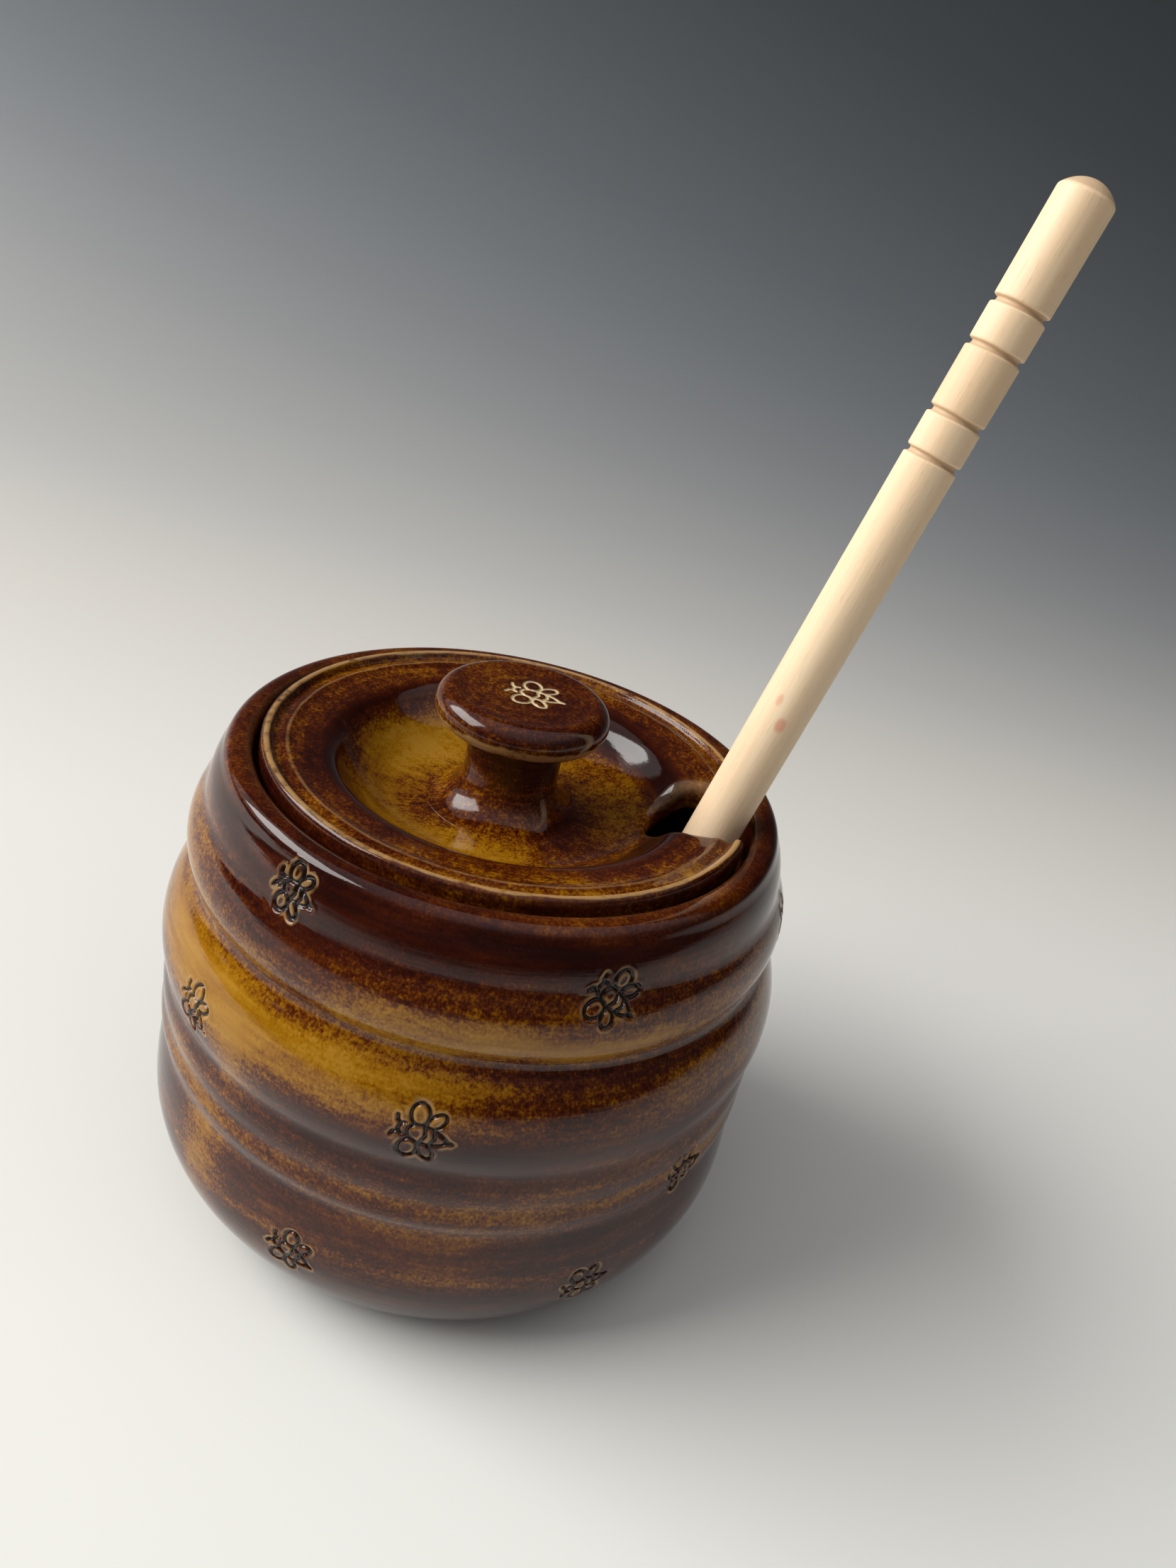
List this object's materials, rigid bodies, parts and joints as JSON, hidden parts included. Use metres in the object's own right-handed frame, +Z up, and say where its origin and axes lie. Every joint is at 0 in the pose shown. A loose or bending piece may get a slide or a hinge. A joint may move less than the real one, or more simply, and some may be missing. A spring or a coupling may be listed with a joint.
{
  "type": "lidded honey pot with dipper",
  "caption": "Round ringed stoneware pot with a drop-in lid, a round knob on a dished top, and a wooden dipper leaning out through a notch in the lid's edge.",
  "frame": {"origin": "centre of the pot's flat foot", "axes": "+Z up along the pot's axis, +X towards the notch in the lid"},
  "size_m": [0.1087, 0.0998, 0.1723],
  "materials": {
    "glaze_body": "glossy amber and red-brown glaze, mottled in bands",
    "glaze_lid": "glossy amber glaze, red-brown on the ring",
    "glaze_knob": "glossy red-brown glaze, tan on the edge",
    "wood_handle": "plain sanded pale wood",
    "wood_head": "plain sanded pale wood"
  },
  "bodies": {
    "pot": {"pot_body": "glaze_body"},
    "lid": {"lid": "glaze_lid", "lid_knob": "glaze_knob"},
    "dipper": {"dipper_handle": "wood_handle", "dipper_head": "wood_head"}
  },
  "joints": [
    {"name": "lid_lift", "type": "slide", "parent": "pot", "child": "lid", "axis": [0, 0, 1], "range_m": [0, 0.05]},
    {"name": "dipper_lift", "type": "slide", "parent": "pot", "child": "dipper", "axis": [0.2285, 0.1215, 0.9659], "range_m": [0, 0.02]}
  ]
}
